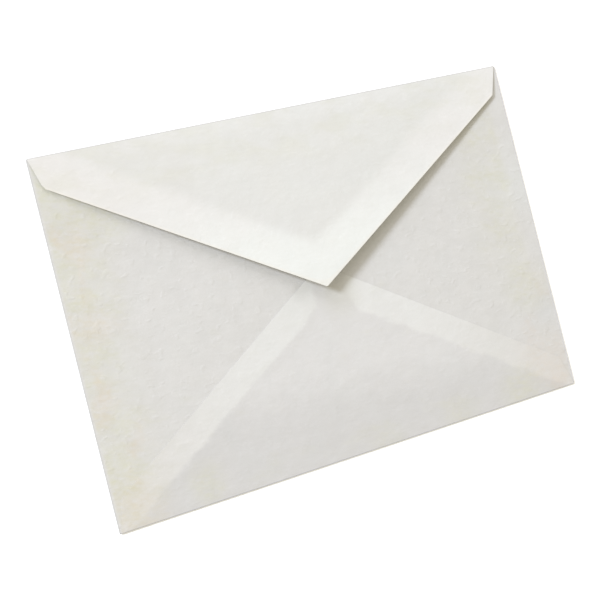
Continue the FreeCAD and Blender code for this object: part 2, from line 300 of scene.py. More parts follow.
def side_span(inward, reach, s, half_h):
    """Lowest and highest y of a side flap at a distance inward from its fold.

    Below: level along the foot, then a straight line to the tip's lower corner. Above: level
    to the throat's shoulder, then a straight line to the tip's upper corner. Both end in a
    circular rounding that touches the upright tip line.
    """
    foot, head = side_fold_ends(s)
    low_y = s.side_tip_rise - half_h
    high_y = half_h - s.throat_depth
    low_slope = (low_y - foot) / (reach - s.side_foot)
    high_slope = (head - high_y) / (reach - s.throat_shoulder)
    bottom = np.maximum(foot, low_y - low_slope * (reach - inward))
    top = np.minimum(head, high_y + high_slope * (reach - inward))
    radius = s.side_tip_round
    for line, slope, sign in ((bottom, low_slope, 1), (top, high_slope, -1)):
        corner = low_y if sign > 0 else high_y
        leave, up = corner_arc(slope, radius)
        centre = corner + sign * up
        past = np.clip(inward - (reach - radius), 0, radius)
        arc = centre - sign * np.sqrt(radius ** 2 - past ** 2)
        line[:] = np.where(inward > reach - leave, arc, line)
    return bottom, top


def pointed_half_width(down, length_, wide, shoulder_down, shoulder_wide):
    """Half the width of a pointed flap at a distance down from its fold.

    It tapers in a straight line from the fold to the shoulder and in a steeper one from the
    shoulder to the apex, with a soft minimum of the two lines at the shoulder and a circle
    at the apex. `down` starts at the end of the fold.
    """
    root, radius = down[0], TIP_ROUND
    taper = wide - (down - root) * (wide - shoulder_wide) / (shoulder_down - root)
    slope = shoulder_wide / (length_ - shoulder_down)
    point = (length_ - down) * slope
    width = (taper + point - np.sqrt((taper - point) ** 2 + SHOULDER_SOFT ** 2)) / 2
    half = math.atan(slope)
    centre = length_ - radius / math.sin(half)
    circle = np.sqrt(np.clip(radius ** 2 - (down - centre) ** 2, 0, None))
    return np.where(down > centre + radius * math.sin(half), circle, width)


def fold_arc(centre, middle_z, radius, last, steps=FOLD_STEPS):
    """Outward place, height and way along a fold: an arc from straight down to `last`."""
    turn = np.linspace(-np.pi / 2, last, steps + 1)[1:]
    out = centre + radius * np.cos(turn)
    return out, middle_z + radius * np.sin(turn), radius * (turn + np.pi / 2)


class SheetBuilder:
    """Collects points, flat-sheet coordinates and faces of the middle of the paper."""

    def __init__(self):
        self.points = []
        self.flat = []
        self.faces = []
        self.count = 0

    def rows(self, points, flat):
        """Add a block of points; gives back their numbers in the block's shape."""
        shape = points.shape[:-1]
        numbers = self.count + np.arange(int(np.prod(shape))).reshape(shape)
        self.points.append(points.reshape(-1, 3))
        self.flat.append(flat.reshape(-1, 2))
        self.count += numbers.size
        return numbers

    def skin(self, numbers, flip=False):
        """Faces between neighbouring rows and columns of a block of numbers."""
        a, b = numbers[:-1, :-1], numbers[1:, :-1]
        c, d = numbers[1:, 1:], numbers[:-1, 1:]
        quad = np.stack([a, d, c, b] if flip else [a, b, c, d], axis=-1)
        self.faces.append(quad.reshape(-1, 4))


def graded(first, last, cell, fine):
    """Stations from first to last, about a cell apart, closing up to `fine` at the end.

    One stands close to the start, so that a fold's shading ends where its arc ends.
    """
    n = max(2, int(round(abs(last - first) / cell)))
    even = np.linspace(0, 1, n + 1)[1:-1]
    head = PAST_FOLD / abs(last - first)
    tail = 1 - np.geomspace(cell, fine, CLOSING_ROWS) / abs(last - first)
    return first + (last - first) * np.unique(np.concatenate([[head], even, tail, [1.0]]))


def with_rows_at(stations, *places):
    """The stations with the nearest one moved to each of the places."""
    for place in places:
        stations[np.argmin(np.abs(stations - place))] = place
    return stations


def back_lift(s, x, y):
    """Slow waves shared by all layers of the back, so that they never cross.

    They are a sum of cosines that fades to nothing at the envelope's outline.
    """
    calm = (ease(0, OUTLINE_CALM, s.width / 2 - np.abs(x))
            * ease(0, OUTLINE_CALM, s.height / 2 - np.abs(y)))
    return BACK_SHARE * s.ripple * calm * smooth_waves(x, y, *BACK_WAVES)


def add_side_flap(built, s, edge, rows, sign):
    """A side flap: half round its fold, then level over the pocket to its tip.

    `edge` is the panel's edge and `rows` is y along it. Each line across the flap is spread
    evenly between the flap's lowest and highest y there.
    """
    w, h, t = s.width / 2, s.height / 2, s.paper
    radius = fold_radii(s)[0]
    reach = s.reach_right if sign > 0 else s.reach_left
    share = (rows - rows[0]) / (rows[-1] - rows[0])
    out, z, run = fold_arc(w - radius, radius, radius - t / 2, np.pi / 2)
    level = graded(radius, reach, s.cell, SIDE_LAST)
    inward = np.concatenate([np.zeros(out.size), level])
    out = np.concatenate([out, w - level])
    z = np.concatenate([z, np.full(level.size, t + s.pocket_gap + t / 2)])
    run = np.concatenate([run, run[-1] + level - radius]) + w - radius
    bottom, top = side_span(inward, reach, s, h)
    y = bottom[:, None] + share * (top - bottom)[:, None]
    x = np.broadcast_to(out[:, None] * sign, y.shape)
    z = z[:, None] + back_lift(s, x, y) * ease(0, SIDE_CALM, inward)[:, None]
    flat = np.stack([np.broadcast_to(run[:, None] * sign, y.shape), y], axis=-1)
    block = built.rows(np.stack([x, y, z], axis=-1), flat)
    built.skin(np.vstack([edge, block]), flip=sign > 0)


def add_bottom_flap(built, s, edge, across):
    """The bottom flap: half round its fold, then level over the side flaps to its tip.

    `edge` is the panel's edge and `across` is x along it. The flap sags a little where it
    lies below the side flaps' lower edges or between their tips.
    """
    w, h, t = s.width / 2, s.height / 2, s.paper
    radius = fold_radii(s)[1]
    root = across[-1]
    out, z, run = fold_arc(h - radius, radius, radius - t / 2, np.pi / 2)
    level = graded(radius, s.bottom_length - BOTTOM_SHORT, s.cell, BOTTOM_LAST)
    level = with_rows_at(level, s.bottom_shoulder_up)
    down = np.concatenate([np.full(out.size, radius), level])
    out = np.concatenate([out, h - level])
    z = np.concatenate([z, np.full(level.size, 2 * t + s.pocket_gap + t / 2)])
    run = np.concatenate([run, run[-1] + level - radius]) + h - radius
    half = pointed_half_width(
        down, s.bottom_length, root, s.bottom_shoulder_up, w - s.bottom_shoulder_in)
    x = across / root * half[:, None]
    y = np.broadcast_to(-out[:, None], x.shape)
    inward = w - np.abs(x)
    reach = np.where(x > 0, s.reach_right, s.reach_left)
    low_edge, _ = side_span(np.minimum(inward, reach), reach.mean(), s, h)
    free = ease(0, SAG_EDGE, low_edge - y) + ease(0, SAG_TIP, inward - reach)
    calm = ease(0, BOTTOM_CALM, h + y)
    z = z[:, None] + (back_lift(s, x, y) - SAG * np.minimum(free, 1)) * calm
    flat = np.stack([x, np.broadcast_to(-run[:, None], x.shape)], axis=-1)
    block = built.rows(np.stack([x, y, z], axis=-1), flat)
    built.skin(np.vstack([edge, block]), flip=True)


def add_top_flap(built, s, edge, across):
    """The top flap: round its fold, then bowed along one large arc up to its tip.

    `edge` is the panel's edge and `across` is x along it. The large arc goes on from the
    fold in the fold's last direction and ends at the tip's height, which fixes its radius.
    """
    h, t = s.height / 2, s.paper
    radius = fold_radii(s)[2]
    fold_y = h - radius
    centre, half_root = (across[0] + across[-1]) / 2, (across[-1] - across[0]) / 2
    share = (across - across[0]) / (across[-1] - across[0])
    turn_end = np.pi / 2 - s.spring
    out, z, run = fold_arc(fold_y, radius, radius - t / 2, turn_end, TOP_FOLD_STEPS)

    leave = np.array([fold_y + radius * math.cos(turn_end), radius + radius * math.sin(turn_end)])
    chord = np.array([h - s.flap_length, s.tip_height]) - leave
    normal = np.array([-math.sin(s.spring), -math.cos(s.spring)])
    bow_r = chord @ chord / (2 * chord @ normal)
    hub = leave + normal * bow_r
    level = graded(h - out[-1], s.flap_length - TOP_SHORT, s.cell * TOP_CELLS, TOP_LAST)
    drops = [s.flap_length - s.flap_slope * wide for wide in (s.flap_left, s.flap_right)]
    level = with_rows_at(level, *drops)
    flap_y = h - level
    flap_z = hub[1] + np.sqrt((bow_r - t / 2) ** 2 - (flap_y - hub[0]) ** 2)
    step = np.hypot(np.diff(flap_y, prepend=out[-1]), np.diff(flap_z, prepend=z[-1]))

    down = np.concatenate([np.full(out.size, h - out[-1]), level])
    z = np.concatenate([z, flap_z])
    run = np.concatenate([run, run[-1] + np.cumsum(step)]) + fold_y
    out = np.concatenate([out, flap_y])
    left, right = (pointed_half_width(down, s.flap_length, half_root, drop, wide)
                   for drop, wide in zip(drops, (s.flap_left, s.flap_right)))
    offset = centre + (-s.flap_shift - centre) * ease(0, SHIFT_RUN, down - down[0])
    x = offset[:, None] + share * right[:, None] - (1 - share) * left[:, None]
    x[:TOP_FOLD_STEPS] = across
    y = np.broadcast_to(out[:, None], x.shape)
    loose = ease(0, TOP_CALM, down - down[0])[:, None]
    z = z[:, None] + s.ripple * loose * smooth_waves(x, y, *TOP_WAVES)
    flat = np.stack([x, np.broadcast_to(run[:, None], x.shape)], axis=-1)
    block = built.rows(np.stack([x, y, z], axis=-1), flat)
    built.skin(np.vstack([edge, block]))


def sheet_surface(s):
    """Middle surface of the folded sheet, worked out from its flat cut shape.

    The front panel is a level grid. Each flap carries its edge row on: round a circular arc
    for the fold, then along a level line, or for the top flap along one large arc, and each
    row is spread over the flap's width at that distance. Slow waves lift the loose layers.
    """
    w, h, t = s.width / 2, s.height / 2, s.paper
    side_r, low_r, top_r = fold_radii(s)
    foot, head = side_fold_ends(s)
    root = w - s.fold_inset
    top_root = root - s.flap_shift / 2
    columns = np.linspace(-root, top_root, int(round((top_root + root) / s.cell)))
    columns = np.concatenate([[side_r - w], columns, [root, w - side_r]])
    rows = np.linspace(foot, head, int(round((head - foot) / s.cell)))
    rows = np.concatenate([[low_r - h], rows, [h - top_r]])

    x, y = np.meshgrid(columns, rows, indexing="ij")
    # Between the folds' ends the cut sheet reaches out to the envelope's corners
    x[0, [0, -1]] = -w + t / 2
    x[-1, [0, -1]] = w - t / 2
    y[[0, -1], 0] = -h + t / 2
    y[[0, -2, -1], -1] = h - t / 2
    built = SheetBuilder()
    points = np.stack([x, y, np.full_like(x, t / 2)], axis=-1)
    panel = built.rows(points, np.stack([x, y], axis=-1))
    built.skin(panel, flip=True)

    add_side_flap(built, s, panel[-1, 1:-1], rows[1:-1], 1)
    add_side_flap(built, s, panel[0, 1:-1], rows[1:-1], -1)
    add_bottom_flap(built, s, panel[1:-1, 0], columns[1:-1])
    add_top_flap(built, s, panel[1:-2, -1], columns[1:-2])
    return (np.concatenate(built.points), np.concatenate(built.flat),
            np.concatenate(built.faces))


def give_thickness(points, flat, faces, paper):
    """Turn a middle surface into a closed sheet of paper.

    Each point moves half the thickness along the mean of its faces' normals, once out and
    once in. The edges that belong to one face only get a rim. Gives back the points, their
    flat coordinates, the faces, each face's material number and the sharp edges.
    """
    one, two, three, four = (points[faces[:, k]] for k in range(4))
    across = np.cross(three - one, four - two)
    normals = np.zeros_like(points)
    for k in range(4):
        np.add.at(normals, faces[:, k], across)
    normals /= np.linalg.norm(normals, axis=1, keepdims=True)
    count = len(points)
    shell = np.concatenate([points + normals * paper / 2, points - normals * paper / 2])
    start = faces.ravel()
    end = np.roll(faces, -1, axis=1).ravel()
    forward, backward = start * count + end, end * count + start
    open_edge = ~np.isin(forward, backward)
    a, b = start[open_edge], end[open_edge]
    rim = np.stack([b, a, a + count, b + count], axis=-1)
    all_faces = np.concatenate([faces, faces[:, ::-1] + count, rim])
    slots = np.repeat([0, 1, 2], [len(faces), len(faces), len(rim)])
    sharp = np.concatenate([np.stack([a, b], -1), np.stack([a, b], -1) + count])
    return shell, np.concatenate([flat, flat]), all_faces, slots, sharp


def make_piece(name, points, flat, faces, slots, sharp):
    """Put the arrays into a mesh, with the flat sheet's coordinates as its UV map."""
    mesh = bpy.data.meshes.new(name)
    mesh.vertices.add(len(points))
    mesh.vertices.foreach_set("co", points.astype(np.float32).ravel())
    mesh.loops.add(faces.size)
    mesh.loops.foreach_set("vertex_index", faces.astype(np.int32).ravel())
    mesh.polygons.add(len(faces))
    mesh.polygons.foreach_set("loop_start", np.arange(0, faces.size, 4, dtype=np.int32))
    layer = mesh.uv_layers.new(name="cut_sheet")
    corner_uv = (0.5 + flat / UV_SPAN)[faces.ravel()]
    layer.data.foreach_set("uv", corner_uv.astype(np.float32).ravel())
    mesh.polygons.foreach_set("use_smooth", np.ones(len(faces), dtype=bool))
    mesh.polygons.foreach_set("material_index", slots.astype(np.int32))
    mesh.update(calc_edges=True)
    ends = np.empty(2 * len(mesh.edges), dtype=np.int32)
    mesh.edges.foreach_get("vertices", ends)
    ends = np.sort(ends.reshape(-1, 2).astype(np.int64), axis=1)
    sharp = np.sort(sharp, axis=1)
    is_sharp = np.isin(ends @ [len(points), 1], sharp @ [len(points), 1])
    mark = mesh.attributes.new("sharp_edge", "BOOLEAN", "EDGE")
    mark.data.foreach_set("value", is_sharp)
    piece = bpy.data.objects.new(name, mesh)
    bpy.context.scene.collection.objects.link(piece)
    return piece


# Materials

def new_material(name, values):
    """A material whose Principled shader has the named inputs set; gives back all three parts."""
    material = bpy.data.materials.new(name)
    material.use_nodes = True
    shader = material.node_tree.nodes["Principled BSDF"]
    for key, value in values.items():
        shader.inputs[key].default_value = value
    return material, material.node_tree, shader


class PaperMap:
    """Where a point of the paper is, in millimetres from the middle of the front panel.

    x and y are its place in the folded envelope, a and b its place on the flat cut sheet.
    w and h are half the envelope's width and height.
    """

    def __init__(self, tree, s):
        self.w, self.h = s.width / 2 / MM, s.height / 2 / MM
        place = add(tree, "TexCoord").node.outputs
        self.folded = add(tree, "VectorMath", place["Object"], 1 / MM, operation="SCALE")
        centred = add(tree, "VectorMath", place["UV"], (-0.5, -0.5, 0), operation="ADD")
        cut = add(tree, "VectorMath", centred, UV_SPAN / MM, operation="SCALE")
        self.x, self.y, _ = add(tree, "SeparateXYZ", self.folded).node.outputs
        self.a, self.b, _ = add(tree, "SeparateXYZ", cut).node.outputs


def cloud(tree, place, size_mm, detail, stretch=(1, 1, 1), turn=0.0, curl=0.0):
    """Noise of blobs about size_mm across, stretched along turned axes; 0 to 1 about 0.5."""
    spot = add(tree, "Mapping", {"Vector": place, "Rotation": (0, 0, turn), "Scale": stretch},
               vector_type="TEXTURE")
    return add(tree, "TexNoise", {"Vector": spot, "Scale": 1 / size_mm, "Detail": detail,
                                  "Roughness": 0.55, "Distortion": curl})


def from_flap_edge(tree, s, at):
    """Distance in millimetres from the top flap's two slanting cut edges, inwards.

    The edges run from the tip at one slope either side of the flap's middle. The absolute
    value of the way from the middle is rounded a little, which blunts the inner corner.
    """
    slope, tip_y = s.flap_slope, at.h - s.flap_length / MM
    blunt = 6.0  # square millimetres added under the root
    aside = add(tree, "Math", at.x, s.flap_shift / MM, operation="ADD")
    aside = add(tree, "Math", aside, aside, blunt, **TIMES_PLUS)
    aside = add(tree, "Math", aside, operation="SQRT")
    edge = add(tree, "Math", aside, slope, **TIMES)
    rise = add(tree, "Math", at.y, tip_y, operation="SUBTRACT")
    rise = add(tree, "Math", rise, edge, operation="SUBTRACT")
    return add(tree, "Math", rise, math.cos(math.atan(slope)), **TIMES)


def near(tree, at, place, start, end):
    """0 from the distance `start` outwards and 1 within `end` of a place, in millimetres."""
    away_x = add(tree, "Math", at.x, place[0], operation="SUBTRACT")
    away_y = add(tree, "Math", at.y, place[1], operation="SUBTRACT")
    away = add(tree, "CombineXYZ", away_x, away_y)
    away = add(tree, "VectorMath", away, operation="LENGTH")
    return add(tree, "MapRange", away, start, end, **SMOOTH)


def bottom_flap_colour(tree, s, c, at, drift):
    """The bottom flap: one layer over the pocket, two where it is glued on the side flaps."""
    # Darker towards its fold, more on the left than on the right
    slant = add(tree, "Math", drift, 6.0, at.y, **TIMES_PLUS)
    slant = add(tree, "Math", at.x, 0.09, slant, **TIMES_PLUS)
    low_down = add(tree, "MapRange", slant, -27.0, -45.0, **SMOOTH)
    flap = add(tree, "Mix", low_down, c.bottom_field, c.bottom_low, **COLOURS)

    # The seams start at the side flaps' lower edges, which show slightly ragged
    side = add(tree, "Math", at.x, operation="ABSOLUTE")
    side_in = add(tree, "Math", at.w, side, operation="SUBTRACT")
    foot = side_fold_ends(s)[0]
    reach = (s.reach_left + s.reach_right) / 2
    slope = (s.side_tip_rise - s.height / 2 - foot) / (reach - s.side_foot)
    start = (foot - slope * s.side_foot) / MM
    edge = add(tree, "Math", side_in, slope, start, **TIMES_PLUS)
    above = add(tree, "Math", at.y, edge, operation="SUBTRACT")
    ragged = add(tree, "Math", drift, 4.0, **TIMES)
    seam = add(tree, "Math", above, ragged, operation="ADD")
    seam = add(tree, "MapRange", seam, -1.1, 1.1, **SMOOTH)

    # They end at the side flaps' tips
    shifted = add(tree, "Math", at.x, ragged, operation="ADD")
    right_end, left_end = at.w - s.reach_right / MM, s.reach_left / MM - at.w
    right = add(tree, "MapRange", shifted, right_end + 1.0, right_end + 4.5, **SMOOTH)
    left = add(tree, "MapRange", shifted, left_end + 1.0, left_end - 1.0, **SMOOTH)
    ends = add(tree, "Math", right, left, operation="MAXIMUM")
    seam = add(tree, "Math", seam, ends, **TIMES)
    outwards = add(tree, "MapRange", side, 22.0, 82.0, **SMOOTH)
    glued = add(tree, "Mix", outwards, c.seam, c.seam_low, **COLOURS)
    return add(tree, "Mix", seam, flap, glued, **COLOURS)


def top_flap_colour(tree, s, c, at, drift):
    """The top flap: lighter next to its fold and over the gum strip, most of all at the tip."""
    to_fold = add(tree, "MapRange", at.y, at.h - 7.0, at.h - 1.0, **SMOOTH)
    flap = add(tree, "Mix", to_fold, c.flap_field, c.flap_fold, **COLOURS)

    # The strip is a little weaker on its inner side
    inside = from_flap_edge(tree, s, at)
    edge = s.gum_width / MM
    gum = add(tree, "Math", drift, 2.5, inside, **TIMES_PLUS)
    gum = add(tree, "MapRange", gum, edge + 2.3, edge - 2.3, **SMOOTH)
    inner = add(tree, "MapRange", inside, 2.0, edge, **SMOOTH)
    inner = add(tree, "Math", inner, -0.18, 1.0, **TIMES_PLUS)
    gum = add(tree, "Math", gum, inner, **TIMES)
    to_tip = add(tree, "MapRange", at.y, 40.0, 6.0, **SMOOTH)
    strip = add(tree, "Mix", to_tip, c.gum_far, c.gum_tip, **COLOURS)
    flap = add(tree, "Mix", gum, flap, strip, **COLOURS)

    # A painted highlight, a lighter line along the cut edge, and the flap darker towards the left
    line = add(tree, "MapRange", inside, 0.9, 0.3, **SMOOTH)
    line = add(tree, "Math", line, 0.5, **TIMES)
    flap = add(tree, "Mix", line, flap, c.cut_edge, **COLOURS)
    to_left = add(tree, "MapRange", at.x, -15.0, -75.0, **SMOOTH)
    return add(tree, "Mix", to_left, flap, LEFT_SHADE, **FILTER)


def olive_age(tree, at, on_top, grain, drift, patches):
    """Strength of the olive cast: beside the side folds and along the bottom, in patches."""
    left = add(tree, "Math", drift, 14.0, at.x, **TIMES_PLUS)
    left = add(tree, "MapRange", left, -56.0, -74.0, **SMOOTH)
    right = add(tree, "MapRange", at.x, 50.0, 66.0, **SMOOTH)
    for share in (add(tree, "MapRange", at.x, 78.0, 73.0, **SMOOTH),
                  add(tree, "MapRange", at.y, -30.0, 0.0, **SMOOTH)):
        right = add(tree, "Math", right, share, **TIMES)
    below = add(tree, "MapRange", at.y, -45.0, -53.0, **SMOOTH)
    below = add(tree, "Math", below, 0.5, **TIMES)
    spread = add(tree, "Math", left, right, operation="MAXIMUM")
    spread = add(tree, "Math", spread, below, operation="MAXIMUM")
    aged = add(tree, "Math", spread, 0.24, patches, **TIMES_PLUS)
    aged = add(tree, "MapRange", aged, 0.56, 0.9, **SMOOTH)

    # An even cast under the patches, stronger at the upper left, and single blots
    upwards = add(tree, "MapRange", at.y, -10.0, 40.0, **SMOOTH)
    upwards = add(tree, "Math", upwards, 0.45, 0.55, **TIMES_PLUS)
    left = add(tree, "Math", left, upwards, **TIMES)
    right = add(tree, "Math", right, 0.35, **TIMES)
    cast = add(tree, "Math", left, right, operation="MAXIMUM")
    for place, reach, depth in OLIVE_BLOTS:
        blot = near(tree, at, place, reach, 2.0)
        blot = add(tree, "Math", blot, depth, **TIMES)
        cast = add(tree, "Math", cast, blot, operation="MAXIMUM")
    olive = add(tree, "Math", cast, aged, operation="ADD")
    olive = add(tree, "Math", olive, grain, **TIMES)
    olive = add(tree, "Math", olive, 0.42, **TIMES)

    # A trace of it on the top flap beside its fold
    on_field = add(tree, "MapRange", at.y, 34.0, 46.0, **SMOOTH)
    on_field = add(tree, "Math", on_top, on_field, **TIMES)
    faint = add(tree, "MapRange", patches, 0.42, 0.66, **SMOOTH)
    faint = add(tree, "Math", faint, on_field, **TIMES)
    return add(tree, "Math", faint, 0.19, olive, **TIMES_PLUS)


def brown_age(tree, at, grain, kinds):
    """Strength of the brown stains: the lower corners and here and there at the side folds."""
    on_left = add(tree, "MapRange", at.x, -62.0, -73.0, **SMOOTH)
    on_right = add(tree, "MapRange", at.x, 62.0, 72.0, **SMOOTH)
    low_down = add(tree, "MapRange", at.y, -14.0, -34.0, **SMOOTH)
    on_right = add(tree, "Math", on_right, low_down, **TIMES)
    beside = add(tree, "Math", on_left, on_right, operation="MAXIMUM")
    brown = add(tree, "MapRange", kinds, 0.5, 0.66, **SMOOTH)
    brown = add(tree, "Math", brown, beside, **TIMES)
    for place, reach, full, depth in BROWN_BLOTS:
        blot = near(tree, at, place, reach, full)
        blot = add(tree, "Math", blot, depth, **TIMES)
        brown = add(tree, "Math", brown, blot, operation="MAXIMUM")
    brown = add(tree, "Math", brown, grain, **TIMES)
    return add(tree, "Math", brown, 0.36, **TIMES)


def wear_and_painted_shade(tree, c, at, on_back, base):
    """A colour with its marks and its rubbed left and top folds, with painted shadow around the top
    flap's tip and a painted cool tint on the right and bottom folds, which lie in shade.
    """
    # The first two marks are painted shadow around the top flap's tip; the others make places a
    # little darker or lighter
    for place, reach, change in SHADE_AND_TONE_MARKS:
        marked = near(tree, at, place, reach, 0.5)
        marked = add(tree, "Math", marked, on_back, **TIMES)
        base = add(tree, "Mix", marked, base, change, **FILTER)

    # Rubbed folds on the left and at the top; the right and bottom folds, which lie in shade, get a
    # painted cool tint that greys them
    to_left = add(tree, "Math", at.x, at.w, operation="ADD")
    to_top = add(tree, "Math", at.h, at.y, operation="SUBTRACT")
    rubbed = add(tree, "Math", to_left, to_top, operation="MINIMUM")
    rubbed = add(tree, "MapRange", rubbed, 0.55, 0.12, **SMOOTH)
    base = add(tree, "Mix", rubbed, base, c.worn_fold, **COLOURS)
    # Painted cool tint on the right and bottom folds, which lie in shade
    to_right = add(tree, "Math", at.w, at.x, operation="SUBTRACT")
    to_bottom = add(tree, "Math", at.y, at.h, operation="ADD")
    shaded_folds = add(tree, "Math", to_right, to_bottom, operation="MINIMUM")
    shaded_folds = add(tree, "MapRange", shaded_folds, 0.5, 0.15, **SMOOTH)
    return add(tree, "Mix", shaded_folds, base, FOLD_SHADE_TINT, **FILTER)


def fibre_clouds(tree, on_side, fibres, drift, broad, patches, kinds):
    """Colour about white that the paper is multiplied by: a few parts in a hundred of mottle."""
    cloudy = add(tree, "Math", on_side, 0.035, 0.055, **TIMES_PLUS)
    mottle = add(tree, "Math", fibres, 0.02, 0.993, **TIMES_PLUS)
    mottle = add(tree, "Math", drift, cloudy, mottle, **TIMES_PLUS)
    broad = add(tree, "Math", broad, 0.5, operation="SUBTRACT")
    mottle = add(tree, "Math", broad, 0.035, mottle, **TIMES_PLUS)
    tones = []
    for tone in (kinds, patches):
        tone = add(tree, "Math", tone, 0.5, operation="SUBTRACT")
        tones.append(add(tree, "Math", tone, 0.02, mottle, **TIMES_PLUS))
    return add(tree, "CombineColor", tones[0], mottle, tones[1])


def paper_material(s, c):
    """Uncoated wood-free envelope paper, machine made, a little aged.

    Matt and nearly white. Its fibres clump, so it looks faintly cloudy and feels cockled.
    Light goes through a single sheet, so it reads lighter where layers are glued together
    or gum backs it. It yellows in patches from the open sides, where air and hands reach it.
    """
    material, tree, shader = new_material("uncoated_paper", {
        "Roughness": 0.9, "IOR": 1.45, "Specular IOR Level": 0.25})
    at = PaperMap(tree, s)

    # Raised fibre clumps 1 to 2 mm long, some denser spots, clouds of 5 mm and of 20 mm
    clumps = cloud(tree, at.folded, 1.1, 1.5, (1.5, 0.8, 1.0), FIBRE_TURN, curl=0.5)
    clumps = add(tree, "MapRange", clumps, 0.46, 0.74, **SMOOTH)
    dense = add(tree, "MapRange", cloud(tree, at.folded, 4.0, 1.0), 0.3, 0.62, **SMOOTH)
    fibres = add(tree, "Math", clumps, dense, **TIMES)
    mid = cloud(tree, at.folded, 5.0, 3.0, (1.2, 0.85, 1.0), FIBRE_TURN)
    drift = add(tree, "Math", mid, 0.5, operation="SUBTRACT")
    broad = cloud(tree, at.folded, 22.0, 2.0)
    # The stains' patches of 8 mm, their other kind of 11 mm and their specks of 1.6 mm
    patches = cloud(tree, at.folded, 8.0, 4.0, (1.7, 0.8, 1.0), STAIN_TURN)
    kinds = cloud(tree, at.folded, 11.0, 3.0, (0.8, 1.3, 1.0))
    specks = cloud(tree, at.folded, 1.6, 2.0, (1.5, 0.8, 1.0), STAIN_TURN)

    # Which part of the cut sheet this is, to 0.1 mm, and its colour
    from_middle = add(tree, "Math", at.a, operation="ABSOLUTE")
    on_side = add(tree, "Math", from_middle, at.w - 0.1, operation="GREATER_THAN")
    on_top = add(tree, "Math", at.b, at.h - 0.1, operation="GREATER_THAN")
    on_bottom = add(tree, "Math", at.b, 0.1 - at.h, operation="LESS_THAN")
    on_back = add(tree, "Math", on_side, on_bottom, operation="MAXIMUM")
    bottom = bottom_flap_colour(tree, s, c, at, drift)
    top = top_flap_colour(tree, s, c, at, drift)
    base = add(tree, "Mix", on_side, c.front, c.side_field, **COLOURS)
    base = add(tree, "Mix", on_bottom, base, bottom, **COLOURS)
    base = add(tree, "Mix", on_top, base, top, **COLOURS)

    # Stains are broken up by specks and stay off the side folds and, but for a trace, the top
    side = add(tree, "Math", at.x, operation="ABSOLUTE")
    off_fold = add(tree, "Math", at.w, side, operation="SUBTRACT")
    off_fold = add(tree, "MapRange", off_fold, 0.3, 1.4, **SMOOTH)
    off_top = add(tree, "Math", 1.0, on_top, operation="SUBTRACT")
    grain = add(tree, "Math", specks, 1.4, -0.2, **TIMES_PLUS)
    grain = add(tree, "Math", grain, off_fold, **TIMES)
    grain = add(tree, "Math", grain, off_top, **TIMES)
    olive = olive_age(tree, at, on_top, grain, drift, patches)
    base = add(tree, "Mix", olive, base, c.stain_olive, **COLOURS)
    brown = brown_age(tree, at, grain, kinds)
    base = add(tree, "Mix", brown, base, c.stain_brown, **COLOURS)

    base = wear_and_painted_shade(tree, c, at, on_back, base)
    mottle = fibre_clouds(tree, on_side, fibres, drift, broad, patches, kinds)
    base = add(tree, "Mix", 1.0, base, mottle, **FILTER)
    tree.links.new(base, shader.inputs["Base Color"])

    # Relief: cockle, fibre clumps, and here and there a knot of fibres about 1 mm across
    knots = cloud(tree, at.folded, 1.8, 0.3, (1.15, 0.9, 1.0), STAIN_TURN, curl=0.3)
    knots = add(tree, "MapRange", knots, 0.58, 0.8, **SMOOTH)
    knot_rise = add(tree, "Math", on_side, 0.35, 0.3, **TIMES_PLUS)
    relief = add(tree, "Math", fibres, 0.25, **TIMES)
    relief = add(tree, "Math", mid, 2.5, relief, **TIMES_PLUS)
    relief = add(tree, "Math", knots, knot_rise, relief, **TIMES_PLUS)
    relief = add(tree, "Bump", {"Height": relief, "Distance": 0.06 * MM, "Strength": 1.0})
    tree.links.new(relief, shader.inputs["Normal"])
    return material


def inner_material(s, c):
    """The same paper's inner face, with the dry gum strip on the top flap.

    Gum arabic dries to a thin film with a low gloss and a faint straw colour.
    """
    material, tree, shader = new_material("paper_inside_with_dry_gum", {})
    at = PaperMap(tree, s)
    drift = add(tree, "Math", cloud(tree, at.folded, 5.0, 3.0), 0.5, operation="SUBTRACT")
    on_top = add(tree, "Math", at.b, at.h + 1.0, operation="GREATER_THAN")
    edge = s.gum_width / MM
    inside = from_flap_edge(tree, s, at)
    gum = add(tree, "Math", drift, 2.5, inside, **TIMES_PLUS)
    gum = add(tree, "MapRange", gum, edge + 0.5, edge - 0.5, **SMOOTH)
    gum = add(tree, "Math", gum, on_top, **TIMES)
    base = add(tree, "Mix", gum, c.inside, c.dry_gum, **COLOURS)

    # Fibre clumps under 1 mm
    clumps = cloud(tree, at.folded, 0.9, 2.0, (1.7, 0.7, 1.0), FIBRE_TURN)
    mottle = add(tree, "Math", clumps, 0.5, operation="SUBTRACT")
    mottle = add(tree, "Math", mottle, 0.07, 1.0, **TIMES_PLUS)
    mottle = add(tree, "CombineColor", mottle, mottle, mottle)
    base = add(tree, "Mix", 1.0, base, mottle, **FILTER)
    tree.links.new(base, shader.inputs["Base Color"])
    rough = add(tree, "MapRange", {"Value": gum, "To Min": 0.9, "To Max": 0.38})
    tree.links.new(rough, shader.inputs["Roughness"])
    return material


def rim_material(c):
    """The paper's cut edge: open fibre ends, which hold some shade between them."""
    return new_material("paper_cut_edge", {
        "Base Color": c.rim, "Roughness": 1.0, "Specular IOR Level": 0.1})[0]


# Stage

def seen_directly(tree):
    """1 for rays from the camera or by way of a mirror or glass, 0 for all others."""
    path = add(tree, "LightPath").node.outputs
    bent = add(tree, "Math", path["Is Glossy Ray"], path["Is Transmission Ray"],
               operation="MAXIMUM")
    return add(tree, "Math", path["Is Camera Ray"], bent, operation="MAXIMUM")


def floor_material():
    """Matt white board. The camera sees it brighter than it lights, so it shows as white."""
    material, tree, shader = new_material("matt_white_board", {
        "Base Color": linear("#E3E6EC"), "Roughness": 1.0, "Specular IOR Level": 0.0})
    white = add(tree, "BsdfDiffuse", FLOOR_SEEN)
    pick = add(tree, "MixShader", seen_directly(tree), shader.outputs[0], white)
    tree.links.new(pick, tree.nodes["Material Output"].inputs["Surface"])
    return material


